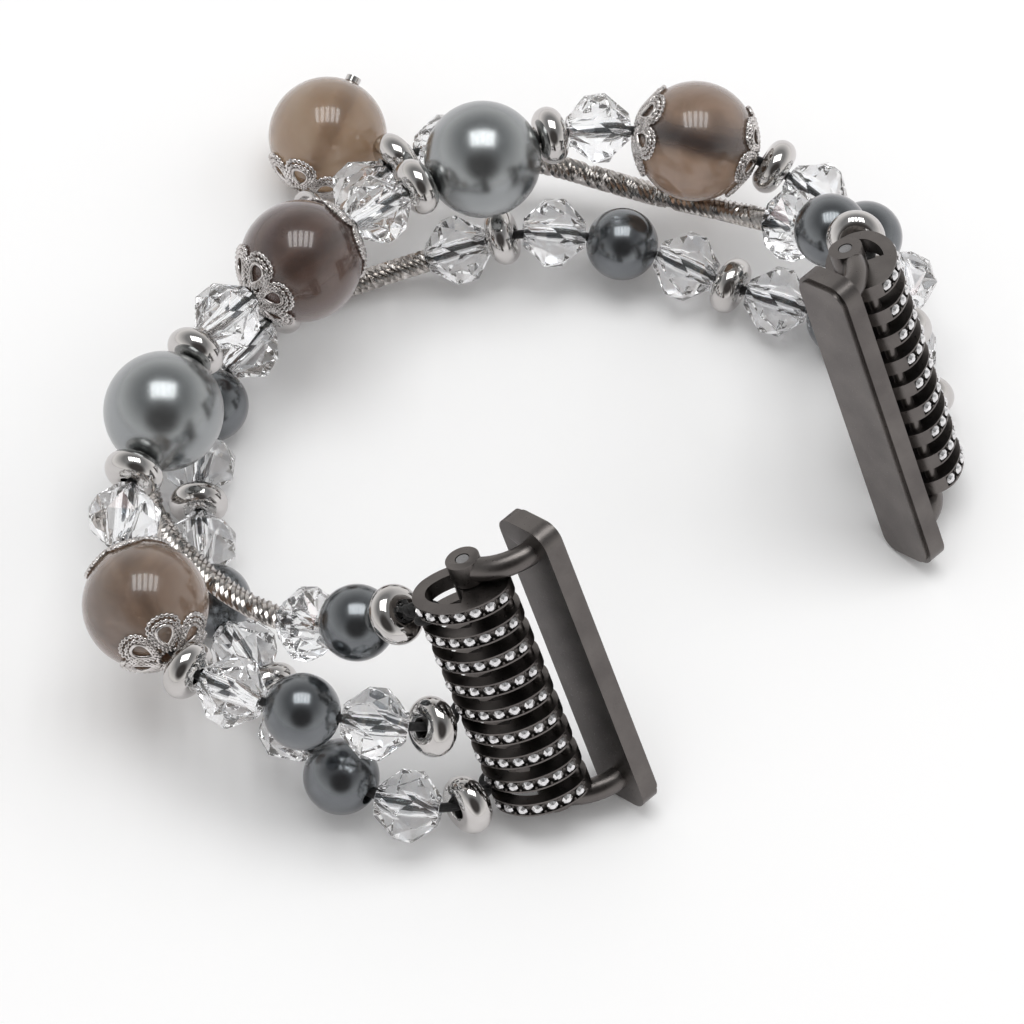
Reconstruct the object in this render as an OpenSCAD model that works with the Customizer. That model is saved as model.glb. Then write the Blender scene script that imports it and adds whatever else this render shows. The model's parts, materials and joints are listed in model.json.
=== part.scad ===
// Three strand beaded stretch band with hinged end links, slide-in adapters and one charm.
// The band lies open on a flat surface, its tabs leaning back, with +Z up.

/* [Adapters] */
// Distance between the outer faces of the two tabs
tab_span = 42.5; // [40:0.5:46]
// Thickness of a tab
tab_t = 2.3; // [2.1:0.1:2.8]
// Width of a tab
tab_w = 7; // [6.4:0.1:8]
// Length of a tab
tab_l = 35.8; // [35:0.1:38]
// Corner radius of a tab
tab_r = 2; // [1:0.1:3]
// Thickness of the narrower inner lip of a tab
lip_t = 0.4; // [0.2:0.1:0.5]
// Diameter of the curved arms between tab and hinge
arm_d = 2.4; // [2:0.1:2.8]
// Outer diameter of the eye at the end of an arm
eye_d = 3.4; // [2.8:0.1:4]
// Distance of the hinge from the outer face of the tab
hinge_out = 4.75; // [4.5:0.05:5.5]
// Distance of the hinge from the middle of the tab, towards the wrist
hinge_in = 3.85; // [3:0.05:4.5]
// Lean of the tabs from upright
lean = 25; // [22:1:28]

/* [Latches] */
// Width of the latch behind its shoulders
latch_w = 5; // [4.5:0.1:6]
// Width of the latch nose
nose_w = 3.6; // [3:0.1:4]
// Thickness of the latch
latch_t = 1.2; // [1:0.1:1.2]
// How far the nose stands out of the tab
nose_out = 0.6; // [0.4:0.1:0.8]
// Travel of the latch into the tab
latch_travel = 0.8; // [0.6:0.1:1]
// Clearance round the latch
latch_gap = 0.05; // [0.04:0.01:0.1]

/* [End links] */
// Number of plates in a link
plates = 9; // [9:2:9]
// Distance from plate to plate
plate_pitch = 3.15; // [3:0.05:3.3]
// Thickness of a plate
plate_t = 1.6; // [1.5:0.05:1.7]
// Length of a plate
ring_l = 9.8; // [9.4:0.1:10.4]
// Width of a plate
ring_w = 7.2; // [7:0.1:7.6]
// Radius of the ends of a plate
ring_end_r = 2.9; // [2.7:0.1:3.1]
// Width of the rim round the opening in a plate
ring_wall = 1.3; // [1.2:0.05:1.5]
// Radius of the solid boss round the hinge pin
boss_r = 1.7; // [1.5:0.1:1.8]
// Diameter of the hinge pin
pin_d = 1.4; // [1.2:0.05:1.5]
// Clearance of the hinge pin in the plates, on the radius
pin_gap = 0.05; // [0.03:0.01:0.08]
// Clearance of the hinge pin in the eyes, on the radius
eye_gap = 0.02; // [0.01:0.01:0.04]
// Clearance between the outer plates and the arms
side_gap = 0.15; // [0.1:0.05:0.3]
// Diameter of the bars between the plates
bar_d = 1.2; // [1:0.05:1.25]
// Fold of the left link from straight out
fold_l = 47; // [40:1:55]
// Fold of the right link from straight out
fold_r = 56; // [50:1:60]

/* [Stones] */
// Number of stones on a plate
stones = 7; // [5:2:7]
// Diameter of a stone
stone_d = 1.1; // [0.9:0.05:1.15]
// Distance from stone to stone
stone_pitch = 1.6; // [1.5:0.05:1.65]
// Height of a stone
stone_h = 0.65; // [0.5:0.05:0.7]
// Depth of the channel that holds the stones
channel_depth = 0.5; // [0.45:0.05:0.6]
// Clearance of the stones in their channel
stone_gap = 0.05; // [0.03:0.01:0.08]

/* [Beads] */
// Length of a faceted crystal
crystal_l = 6.4; // [6:0.1:7]
// Diameter of a faceted crystal
crystal_d = 7.2; // [6.6:0.1:7.4]
// Length of a flat faceted crystal
disc_l = 4.7; // [4.2:0.1:5]
// Diameter of a flat faceted crystal
disc_d = 7.4; // [7:0.1:7.8]
// Length of a metal spacer ring
spacer_l = 2.9; // [2.6:0.1:3.2]
// Diameter of a metal spacer ring
spacer_d = 6; // [5.6:0.1:6.2]
// Diameter of a small pearl
pearl_d = 7.5; // [7:0.1:7.7]
// Diameter of a big pearl
big_pearl_d = 12; // [11.4:0.1:12.2]
// Diameter of an agate bead
agate_d = 12.4; // [12:0.1:12.6]
// Length of a curved metal tube
tube_l = 37; // [35:0.5:38]
// Diameter of a curved metal tube
tube_d = 2.4; // [2.2:0.1:2.6]
// Diameter of the bores
bore_d = 1.7; // [1.6:0.05:1.8]
// Gap between neighbouring beads where the strand runs straight
bead_gap = 0.12; // [0.1:0.01:0.2]

/* [Caps] */
// Thickness of a filigree cap
cap_t = 0.4; // [0.3:0.05:0.5]
// Clearance between a cap and its bead
cap_gap = 0.03; // [0.02:0.01:0.06]
// Number of petals
petals = 6; // [5:1:7]
// Radius of a petal
petal_r = 1.95; // [1.7:0.05:2]
// Radius of the circle that the petals sit on
petal_ring_r = 2.8; // [2.6:0.1:2.9]
// Radius of the round part of the hole in a petal
petal_hole_r = 0.8; // [0.6:0.05:0.9]

/* [Cords] */
// Diameter of the elastic cords
cord_d = 1; // [0.8:0.1:1.1]
// Length of bare cord between a post and the first bead
lead = 2.4; // [2.4:0.1:3]
// Radius of a knot
knot_r = 0.7; // [0.6:0.05:0.75]
// Length of bare cord that carries the charm
charm_cord = 1.2; // [1.1:0.1:1.4]

/* [Charm] */
// Outer diameter of a jump ring
jump_d = 6; // [5.8:0.1:6.2]
// Wire diameter of a jump ring
jump_wire = 0.8; // [0.7:0.05:0.85]
// Diameter of the head pin's wire
wire_d = 0.6; // [0.5:0.05:0.7]
// Radius of the head pin's loop, at the middle of its wire
eyelet_r = 1.7; // [1.65:0.05:1.8]
// Distance from the charm's cap to the middle of the head pin's loop
charm_stem = 2.77; // [2.65:0.05:3.2]
// Diameter of the head of the head pin
pin_head_d = 1.6; // [1.6:0.1:2.2]
// Thickness of the head of the head pin
pin_head_t = 0.6; // [0.5:0.1:0.8]
// Clearance between linked wires
link_gap = 0.15; // [0.12:0.01:0.2]
// Clearance of the jump ring in the head pin's loop
eyelet_gap = 0.4; // [0.35:0.05:0.5]

/* [Hidden] */
$fn = 48;
shift = [4.3, -8.05, 0];
tab_u = tab_span / 2;
hinge_uv = [tab_u + hinge_out, hinge_in];
// Where the hinge lies in a plate, measured from the plate's middle
hinge_xy = [-0.8, 1.1];
// Tabs touch the surface with the lower corner of their end
rest_gap = 0.02;
head_y = -24.4;
head_z = rest_gap + tab_r + (tab_l / 2 - tab_r) * cos(lean) + (tab_w / 2 - tab_r) * sin(lean);
stack = (plates - 1) * plate_pitch;
arm_w = stack / 2 + plate_t / 2 + side_gap + arm_d / 2;
// The narrow end of the opening starts here, measured from the plate's middle
opening_x = -0.3;
bar_x = ring_l / 2 - ring_wall / 2;
bar_inset = 0.5;

// The four-arc outline of a plate
half_l = ring_l / 2;
half_w = ring_w / 2;
end_x = half_l - ring_end_r;
big_r = (end_x * end_x + half_w * half_w - ring_end_r * ring_end_r) / (2 * (half_w - ring_end_r));
turn = asin(end_x / (big_r - ring_end_r));
big_arc = big_r * turn * PI / 180;

// Beads of the three strands, from the left link to the right one:
// R spacer, X crystal, Y flat crystal, p small pearl, P big pearl, G agate with two caps,
// T curved tube, J bare cord with the charm
ids = ["a", "b", "c"];
seqs = [
    "RXpXRGXRPRXGXRPRXGRXpXR",
    "RpYTTXRXpXRXpXR",
    "RXpXRXpXRXpXRXRJXRXTYpR"
];
// The gap between plates that each strand is tied in, at its left and right end
gap_l = [5, 1, plates - 1];
gap_r = [5, plates - 1, 1];

// Routes between the links, chosen by hand
route_a = [
    [-35.2, -17.3, 14.3], [-41, -10.5, 15.3], [-45.5, -2, 15], [-46.2, 9, 14.5], [-39.5, 19, 15],
    [-30, 24.5, 15.5], [-18, 29, 16], [-7, 28.5, 16], [4, 28, 16], [15, 25.5, 16],
    [26, 20.5, 15.5], [34.5, 12, 14], [38.5, 2, 10.5], [38.2, -7, 10.7], [36.2, -13.8, 11.8]
];
route_b = [
    [-31.2, -10.8, 22.1], [-33, -7, 18], [-35.8, -1, 14.5], [-36.6, 8, 11], [-35, 18.3, 7.6],
    [-30.7, 26.6, 4.2], [-21.4, 34, 2.1], [-11, 34.6, 1.5], [-1, 32, 1.4], [8, 27, 3.4],
    [16, 21, 6.8], [22, 15, 6], [26.5, 7, 4.5], [29, 0, 3.9], [33, -7, 3.8],
    [35.4, -13, 3.8], [34.8, -18.6, 3.8]
];
route_c = [
    [-34, -23, 5], [-39, -17, 5], [-40, -8, 4.5], [-38, 0, 5.5], [-36.5, 8, 4.5],
    [-32.5, 15.5, 3.8], [-26.5, 22.5, 3.8], [-19, 29.2, 3.8], [-11, 30.6, 5.4], [-2, 32.2, 7.8],
    [6, 33.8, 9], [13, 34.2, 10], [18.5, 31, 8], [24, 25, 6], [29, 16.5, 5],
    [31.5, 8, 8], [31.5, -1, 14.5], [32.1, -8.4, 20.2]
];
routes = [route_a, route_b, route_c];

// Small vector helpers
function unit(v) = v / norm(v);
function square_to(v, axis) = unit(v - (v * axis) * axis);
function turned(p, a) = [p.x * cos(a) - p.y * sin(a), p.x * sin(a) + p.y * cos(a)];
function flat(lists) = [for (l = lists) for (x = l) x];
function reversed(l) = [for (i = [len(l) - 1:-1:0]) l[i]];
function sum(l, n = 0) = n == len(l) ? 0 : l[n] + sum(l, n + 1);

// Frame of the leaning tabs: u across, v towards the wrist, w along the tabs
v_dir = [0, cos(lean), -sin(lean)];
w_dir = [0, sin(lean), cos(lean)];
function leaning(u, v, w) = [u, head_y, head_z] + v * v_dir + w * w_dir;
function fold(side) = side < 0 ? fold_l : fold_r;
function plate_uv(side, p) = hinge_uv + turned(p - hinge_xy, fold(side));
function in_link(side, p, w) = leaning(side * plate_uv(side, p).x, plate_uv(side, p).y, w);
function gap_w(n) = stack / 2 - plate_pitch * (n - 0.5);
function post(side, n) = in_link(side, [bar_x, 0], gap_w(n));

// Point and lean on the outside of a plate, at an arc length from its middle
function rim(s, g) = abs(s) <= big_arc
    ? [(big_r + g) * sin(rim_turn(s)), big_r - half_w - (big_r + g) * cos(rim_turn(s))]
    : [sign(s) * end_x + (ring_end_r + g) * sin(rim_turn(s)), -(ring_end_r + g) * cos(rim_turn(s))];
function rim_turn(s) = abs(s) <= big_arc
    ? s / big_r * 180 / PI
    : sign(s) * (turn + (abs(s) - big_arc) / ring_end_r * 180 / PI);

// Smooth curve through the points of a route
steps = 24;
function blend(a, b, c, d, t) =
    0.5 * (2 * b + (c - a) * t + (2 * a - 5 * b + 4 * c - d) * t * t + (3 * b - a - 3 * c + d) * t * t * t);
function smooth(p) = let (n = len(p) - 1, q = concat([2 * p[0] - p[1]], p, [2 * p[n] - p[n - 1]]))
    concat([for (i = [0:n - 1]) for (k = [0:steps - 1]) blend(q[i], q[i + 1], q[i + 2], q[i + 3], k / steps)], [p[n]]);
function lengths(q) = [for (i = 0, s = 0; i < len(q); s = s + (i + 1 < len(q) ? norm(q[i + 1] - q[i]) : 0), i = i + 1) s];
// The table runs on straight past the last post, so that a chain that is too long can be measured
function run_on(q) = let (n = len(q) - 1) concat(q, [q[n] + 60 * unit(q[n] - q[n - 1])]);
function table(p) = let (q = run_on(p), s = lengths(q)) [for (k = [0:2]) [for (i = [0:len(q) - 1]) [s[i], q[i][k]]]];
function at(t, s) = [lookup(s, t[0]), lookup(s, t[1]), lookup(s, t[2])];
function total(t) = t[0][len(t[0]) - 2][0];

// Length of a bead along its strand
function bead_l(k) =
    k == "R" ? spacer_l :
    k == "X" ? crystal_l :
    k == "Y" ? disc_l :
    k == "p" ? pearl_d :
    k == "P" ? big_pearl_d :
    k == "G" ? agate_d + 2 * (cap_t + cap_gap) :
    k == "T" ? tube_l : charm_cord;
// Radius of a bead's flat end, and radius of a round bead
function end_r(k) = k == "R" ? spacer_l * 0.55 : k == "X" ? crystal_tip : k == "Y" ? disc_tip : k == "T" ? tube_d / 2 : 0;
function round_r(k) = k == "p" ? pearl_d / 2 : k == "P" ? big_pearl_d / 2 : k == "G" ? agate_d / 2 + cap_t : 0;
crystal_tip = crystal_d * 0.21;
disc_tip = disc_d * 0.3;

// Where a strand bends, the gap opens until the two beads touch no more
function space(a, b, bend) =
    round_r(a) > 0 && round_r(b) > 0 ? 0 :
    round_r(a) == 0 && round_r(b) == 0 ? (min(end_r(a), end_r(b)) + 0.45) * sin(bend) :
    let (e = max(end_r(a), end_r(b)), r = max(round_r(a), round_r(b))) max(0, (e + 0.35) * sin(bend) - e * e / (2 * r));

// A route is drawn in or let out about the middle, so that its beads fit between the posts
function ends(s) = [post(-1, gap_l[s]), post(1, gap_r[s])];
// The cords leave the posts square to them
function out_of(p, next) = p + lead * square_to(next - p, w_dir);
function route(s, k) = let (p = [for (p = routes[s]) [p.x * k, p.y * k, p.z]], e = ends(s))
    concat([e[0], out_of(e[0], p[0])], p, [out_of(e[1], p[len(p) - 1]), e[1]]);
function long(t, seq) = let (c = chain(t, seq, lead)) c[len(c) - 1][1] - lead;
plain = [for (s = [0:2]) table(smooth(route(s, 1)))];
needed = [for (s = [0:2]) long(plain[s], seqs[s])];
tables = [for (s = [0:2]) table(smooth(route(s, (needed[s] + 2 * lead) / total(plain[s]))))];

// A straight bead ends where its length fits the curve, a tube follows the curve
function far(t, s, l) = s + l + more(t, s, s + l, l, 4);
function more(t, s, e, l, n) = n == 0 ? e - s - l : more(t, s, e + l - norm(at(t, e) - at(t, s)), l, n - 1);
function bead_end(t, s, k) = k == "T" ? s + tube_l : far(t, s, bead_l(k));
function leaving(t, s, e, k) = unit(at(t, e) - at(t, k == "T" ? e - 1 : s));
function entering(t, e, k) = unit(at(t, e + (k == "T" ? 1 : bead_l(k))) - at(t, e));
function gap(t, s, e, a, b) = bead_gap + space(a, b, acos(min(1, leaving(t, s, e, a) * entering(t, e, b))));
function chain(t, seq, start) = [
    for (
        i = 0, s = start, e = bead_end(t, s, seq[0]);
        i < len(seq);
        i = i + 1,
        s = i < len(seq) ? e + gap(t, s, e, seq[i - 1], seq[i]) : e,
        e = i < len(seq) ? bead_end(t, s, seq[i]) : e
    ) [s, e, at(t, s), at(t, e)]
];
chains = [for (s = [0:2]) chain(tables[s], seqs[s], (total(tables[s]) - needed[s]) / 2)];
function middle(s, i) = (chains[s][i][2] + chains[s][i][3]) / 2;
function along(s, i) = unit(chains[s][i][3] - chains[s][i][2]);
function found(s, k) = [for (i = [0:len(seqs[s]) - 1]) if (seqs[s][i] == k) i];
function part_of(l, n) = [for (i = [0:len(l) - 1]) if ((i < len(l) / 2) == (n == 1)) l[i]];

// Points of a tube's middle line
tube_steps = 16;
function tube_path(s, i) = [for (k = [0:tube_steps]) at(tables[s], chains[s][i][0] + tube_l * k / tube_steps)];

// Path of a cord: loop round the left post, knot, through the beads, knot, loop round the right post
loop_r = bar_d / 2 + cord_d / 2 + 0.14;
knot_at = loop_r + knot_r - 0.15;
function loop(p, e) = let (a = atan2(e * v_dir, e.x))
    [for (k = [0:9]) p + loop_r * (cos(a + 62 + k * 28) * [1, 0, 0] + sin(a + 62 + k * 28) * v_dir)];
function knot(p, e) = [for (k = [-1, -0.5, 0.5, 1]) p + e * (knot_at + k * 0.55)];
function end_path(p, e) = concat(loop(p, e), knot(p, e));
function joins(s, i) = (chains[s][i][3] + chains[s][i + 1][2]) / 2;
function inner_path(s) = flat([
    for (i = [0:len(seqs[s]) - 1]) concat(
        [i == 0 ? chains[s][0][2] : joins(s, i - 1)],
        seqs[s][i] == "T" ? [for (k = [1:7]) at(tables[s], chains[s][i][0] + tube_l * k / 8)] : []
    )
]);
function leave(s, n) = n == 0
    ? square_to(chains[s][0][2] - ends(s)[0], w_dir)
    : square_to(chains[s][len(seqs[s]) - 1][3] - ends(s)[1], w_dir);
function cord_path(s) = concat(
    end_path(ends(s)[0], leave(s, 0)),
    inner_path(s),
    [chains[s][len(seqs[s]) - 1][3]],
    reversed(end_path(ends(s)[1], leave(s, 1)))
);
end_radii = [for (k = [0:13]) k == 11 || k == 12 ? knot_r : cord_d / 2];
function cord_r(s) = concat(
    end_radii,
    [for (k = [0:len(inner_path(s))]) cord_d / 2],
    reversed(end_radii)
);

// Rings of points along a path, turned as little as possible from one to the next
function heading(p, i) = unit(p[min(i + 1, len(p) - 1)] - p[max(i - 1, 0)]);
function sides(p) = [
    for (
        i = 0, n = square_to([0.1, 0.2, 1], heading(p, 0));
        i < len(p);
        i = i + 1, n = i < len(p) ? square_to(n, heading(p, i)) : n
    ) n
];
function rings(p, r, count) = let (n = sides(p)) [
    for (i = [0:len(p) - 1]) let (h = heading(p, i), m = cross(h, n[i]))
        [for (k = [0:count - 1]) p[i] + r[i] * (cos(360 * k / count) * n[i] + sin(360 * k / count) * m)]
];

// Closed skin over rings of equally many points
module skin(rows) {
    n = len(rows[0]);
    last = (len(rows) - 1) * n;
    polyhedron(
        flat(rows),
        concat(
            [for (i = [0:len(rows) - 2]) for (k = [0:n - 1]) [i * n + k, (i + 1) * n + (k + 1) % n, i * n + (k + 1) % n]],
            [for (i = [0:len(rows) - 2]) for (k = [0:n - 1]) [i * n + k, (i + 1) * n + k, (i + 1) * n + (k + 1) % n]],
            [for (k = [1:n - 2]) [0, k, k + 1]],
            [for (k = [1:n - 2]) [last, last + k + 1, last + k]]
        )
    );
}

// Skin of a pipe: outer rings, inner rings and flat ends
module pipe_skin(outer, inner) {
    n = len(outer[0]);
    m = len(outer);
    far_in = m * n;
    polyhedron(
        concat(flat(outer), flat(inner)),
        concat(
            [for (i = [0:m - 2]) for (k = [0:n - 1]) [i * n + k, (i + 1) * n + (k + 1) % n, i * n + (k + 1) % n]],
            [for (i = [0:m - 2]) for (k = [0:n - 1]) [i * n + k, (i + 1) * n + k, (i + 1) * n + (k + 1) % n]],
            [for (i = [0:m - 2]) for (k = [0:n - 1])
                [far_in + i * n + k, far_in + i * n + (k + 1) % n, far_in + (i + 1) * n + (k + 1) % n]],
            [for (i = [0:m - 2]) for (k = [0:n - 1])
                [far_in + i * n + k, far_in + (i + 1) * n + (k + 1) % n, far_in + (i + 1) * n + k]],
            [for (k = [0:n - 1]) [k, (k + 1) % n, far_in + (k + 1) % n]],
            [for (k = [0:n - 1]) [k, far_in + (k + 1) % n, far_in + k]],
            [for (k = [0:n - 1]) [(m - 1) * n + k, far_in + (m - 1) * n + (k + 1) % n, (m - 1) * n + (k + 1) % n]],
            [for (k = [0:n - 1]) [(m - 1) * n + k, far_in + (m - 1) * n + k, far_in + (m - 1) * n + (k + 1) % n]]
        )
    );
}

// Turns the Z axis to a direction
module aim(p, d) {
    translate(p) rotate([0, acos(d.z), atan2(d.y, d.x)]) children();
}

// Moves a piece from the frame of the tabs to the band's own frame
module lean_back() {
    translate(shift) translate([0, head_y, head_z]) rotate([-lean, 0, 0]) children();
}

module on_side(side) {
    lean_back() mirror([side < 0 ? 1 : 0, 0, 0]) children();
}

module on_link(side) {
    on_side(side) translate([hinge_uv.x, hinge_uv.y, 0]) rotate([0, 0, fold(side)])
        translate([-hinge_xy.x, -hinge_xy.y, 0]) children();
}

module rounded(w, l, r) {
    square([w - 2 * r, l], center = true);
    square([w, l - 2 * r], center = true);
    for (x = [-1, 1], y = [-1, 1]) translate([x * (w / 2 - r), y * (l / 2 - r)]) circle(r);
}

// Slab across the tab, from one distance to another
module across(from, to) {
    translate([from, 0, 0]) rotate([90, 0, 90]) linear_extrude(to - from) children();
}

// Adapter: the tab that slides into a slot, two curved arms and their eyes
// The left one is the right one turned about the tab, with the arms bent the other way
module adapter(side) {
    start = [tab_u - 0.6, -0.4];
    run = hinge_uv - start;
    arm_r = (run * run) / (2 * run.y);
    last = atan2(run.y - arm_r, run.x);
    chamber_in = tab_w / 2 - 0.6;
    mouth_in = chamber_in - 1;
    mouth_l = tab_w / 2 - mouth_in + 0.5;
    color("dimgray") lean_back() rotate([0, 0, side < 0 ? 180 : 0]) difference() {
        union() {
            across(tab_u - tab_t + lip_t, tab_u) rounded(tab_w, tab_l, tab_r);
            across(tab_u - tab_t, tab_u - 0.5) rounded(tab_w - 0.8, tab_l - 0.8, tab_r - 0.4);
            for (z = [-1, 1]) {
                translate([start.x, side * (start.y + arm_r), z * arm_w]) rotate([0, 0, side < 0 ? -last : -90])
                    rotate_extrude(angle = last + 90) translate([arm_r, 0]) circle(d = arm_d);
                translate([hinge_uv.x, side * hinge_uv.y, z * arm_w]) cylinder(d = eye_d, h = arm_d, center = true);
            }
        }
        translate([hinge_uv.x, side * hinge_uv.y, 0])
            cylinder(d = pin_d + 2 * eye_gap, h = 2 * arm_w + 2 * arm_d, center = true);
        // Chamber and mouth of the latch
        translate([latch_u, side * (chamber_in - chamber_l / 2), 0])
            cube([latch_t + 2 * latch_gap, chamber_l, latch_w + 2 * latch_gap], center = true);
        translate([latch_u, side * (mouth_in + mouth_l / 2), 0])
            cube([latch_t + 2 * latch_gap, mouth_l, nose_w + 2 * latch_gap], center = true);
    }
}

// Latch that snaps into the recess of the slot
latch_u = tab_u - tab_t / 2 + lip_t / 4;
latch_body = 1.25;
chamber_l = latch_body + latch_travel + 2 * latch_gap + 0.1;
module latch(side) {
    back = tab_w / 2 - 0.6 - latch_gap - latch_body;
    tip = tab_w / 2 + nose_out;
    color("silver") on_side(side) {
        difference() {
            union() {
                translate([latch_u - latch_t / 2, back, -latch_w / 2]) cube([latch_t, latch_body, latch_w]);
                translate([latch_u - latch_t / 2, back + 0.2, -nose_w / 2]) cube([latch_t, tip - back - 0.2, nose_w]);
            }
            // The nose is bevelled on both sides, so that it rides into the recess
            for (z = [-1, 1]) translate([latch_u, tip, z * nose_w / 2]) rotate([45, 0, 0])
                cube([2 * latch_t, 0.7, 0.7], center = true);
        }
    }
}

// Hinge pin through both eyes and all plates
module hinge_pin(side) {
    color("gray") on_side(side) translate([hinge_uv.x, hinge_uv.y, 0])
        cylinder(d = pin_d, h = 2 * arm_w + arm_d - 0.1, center = true);
}

// Outline of a plate, grown or drawn in by a distance
module outline(g) {
    union() {
        intersection() {
            translate([0, half_w - big_r]) circle(big_r + g, $fn = 96);
            translate([0, big_r - half_w]) circle(big_r + g, $fn = 96);
            square([2 * (big_r + g) * sin(turn), 4 * half_w], center = true);
        }
        for (x = [-1, 1]) translate([x * end_x, 0]) circle(ring_end_r + g);
    }
}

// One plate: rim, boss for the pin, opening and channel for the stones
module plate() {
    channel_w = stone_d + 2 * stone_gap;
    stop_y = rim((stones - 1) / 2 * stone_pitch + stone_d / 2 + stone_gap, 0).y;
    difference() {
        linear_extrude(plate_t, center = true) difference() {
            outline(0);
            difference() {
                intersection() {
                    outline(-ring_wall);
                    translate([opening_x, -half_w]) square([ring_l, ring_w]);
                }
                translate(hinge_xy) circle(boss_r);
            }
            translate(hinge_xy) circle(d = pin_d + 2 * pin_gap);
        }
        linear_extrude(channel_w, center = true) intersection() {
            difference() {
                outline(0.4);
                outline(-channel_depth);
            }
            translate([-ring_l, -ring_w]) square([2 * ring_l, ring_w + stop_y]);
        }
    }
}

// End link: a stack of plates joined by two bars
module end_link(side) {
    color("dimgray") on_link(side) union() {
        for (n = [0:plates - 1]) translate([0, 0, n * plate_pitch - stack / 2]) plate();
        translate([bar_x, 0, 0]) cylinder(d = bar_d, h = stack, center = true);
        translate([bar_inset + bar_d / 2 - half_l, 0, 0]) cylinder(d = bar_d, h = stack, center = true);
    }
}

// Stones of a link, each a low brilliant in the channel of its plate
module stone() {
    girdle = stone_h * 0.55;
    cylinder(d1 = stone_d * 0.5, d2 = stone_d, h = girdle, $fn = 24);
    translate([0, 0, girdle]) cylinder(d1 = stone_d, d2 = stone_d * 0.6, h = stone_h - girdle, $fn = 24);
}

module link_stones(side) {
    color("white") on_link(side)
        for (n = [0:plates - 1], i = [0:stones - 1]) {
            s = (i - (stones - 1) / 2) * stone_pitch;
            p = rim(s, stone_gap - channel_depth);
            translate([p.x, p.y, n * plate_pitch - stack / 2]) rotate([90, 0, rim_turn(s)]) stone();
        }
}

// Beads, each with its bore along Z
module bored(l) {
    difference() {
        children();
        cylinder(d = bore_d, h = 2 * l, center = true);
    }
}

// Faceted bead: two rings of facets that meet in a band of triangles
module faceted(l, d, tip_d, band, count) {
    function ring(z, r, a) = [for (k = [0:count - 1]) [r * cos(a + 360 * k / count), r * sin(a + 360 * k / count), z]];
    half = 180 / count;
    bored(l) skin([
        ring(-l / 2, tip_d / 2, 0),
        ring(-band / 2, d / 2, half),
        ring(band / 2, d / 2, 0),
        ring(l / 2, tip_d / 2, half)
    ]);
}

module spacer() {
    rotate_extrude() difference() {
        union() {
            translate([bore_d / 2, -spacer_l / 2]) square([spacer_d / 2 - spacer_l / 2 - bore_d / 2, spacer_l]);
            translate([spacer_d / 2 - spacer_l / 2, 0]) circle(spacer_l / 2);
        }
        translate([-spacer_d, -spacer_l]) square([spacer_d + bore_d / 2, 2 * spacer_l]);
    }
}

module bead(k) {
    if (k == "R") color("silver") spacer();
    if (k == "X") color("lightcyan") faceted(crystal_l, crystal_d, 2 * crystal_tip, crystal_l * 0.3, 8);
    if (k == "Y") color("lightcyan") faceted(disc_l, disc_d, 2 * disc_tip, disc_l * 0.25, 10);
    if (k == "p") color("slategray") bored(pearl_d) sphere(d = pearl_d);
    if (k == "P") color("lightslategray") bored(big_pearl_d) sphere(d = big_pearl_d);
    if (k == "G") color("rosybrown") bored(agate_d) sphere(d = agate_d);
}

module bead_on(s, i) {
    translate(shift) aim(middle(s, i), along(s, i)) bead(seqs[s][i]);
}

// Filigree cap: a bowl of petals, each with a drop-shaped hole, over one end of an agate
module cap() {
    inner = agate_d / 2 + cap_gap;
    reach = agate_d / 2 * 0.62;
    drop = petal_hole_r * 1.3;
    color("gainsboro") difference() {
        intersection() {
            sphere(inner + cap_t);
            translate([0, 0, reach]) linear_extrude(agate_d / 2) union() {
                circle(petal_ring_r);
                for (n = [0:petals - 1]) rotate(n * 360 / petals) translate([petal_ring_r, 0]) circle(petal_r);
            }
        }
        sphere(inner);
        cylinder(d = bore_d, h = agate_d);
        for (n = [0:petals - 1]) rotate(n * 360 / petals) {
            translate([petal_ring_r, 0, 0]) cylinder(r = petal_hole_r, h = agate_d);
            translate([petal_ring_r - drop, 0, 0]) cylinder(r = petal_hole_r / 2, h = agate_d);
        }
    }
}

module cap_on(s, i, side) {
    translate(shift) aim(middle(s, i), side * along(s, i)) cap();
}

module tube(s, i) {
    p = tube_path(s, i);
    color("silver") translate(shift) pipe_skin(
        rings(p, [for (x = p) tube_d / 2], 12),
        rings(p, [for (x = p) bore_d / 2], 12)
    );
}

module cord(s) {
    color("black") translate(shift) skin(rings(cord_path(s), cord_r(s), 8));
}

// Charm: two jump rings from the bare cord, and an agate on a head pin with one cap
charm_i = found(2, "J")[0];
jump_r = (jump_d - jump_wire) / 2;
charm_arm = agate_d / 2 + cap_gap + cap_t + charm_stem;
hang_p = middle(2, charm_i);
hang_dir = square_to([-1.3, 7.1, -5.7], along(2, charm_i));
ring_1_at = hang_p + hang_dir * (jump_r - jump_wire / 2 - cord_d / 2 - link_gap);
ring_2_at = ring_1_at + hang_dir * (2 * jump_r - jump_wire - link_gap);
eyelet_at = ring_2_at + hang_dir * (jump_r - jump_wire / 2 - wire_d / 2 - eyelet_gap + eyelet_r);
charm_rise = (agate_d / 2 + cap_t + rest_gap - eyelet_at.z) / charm_arm;
charm_turn = 20.5;
charm_dir = [cos(asin(charm_rise)) * cos(charm_turn), cos(asin(charm_rise)) * sin(charm_turn), charm_rise];
charm_at = eyelet_at + charm_arm * charm_dir;
ring_1_dir = along(2, charm_i);
ring_2_dir = unit(0.85 * cross(hang_dir, ring_1_dir) + ring_1_dir);
eyelet_dir = unit(cross(charm_dir, hang_dir));

module jump_ring(p, d) {
    color("silver") translate(shift) aim(p, d)
        rotate_extrude() translate([jump_r, 0]) circle(d = jump_wire, $fn = 32);
}

module charm_agate() {
    color("tan") translate(shift) aim(charm_at, charm_dir) bored(agate_d) sphere(d = agate_d);
}

module charm_cap() {
    translate(shift) aim(charm_at, -charm_dir) cap();
}

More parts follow.
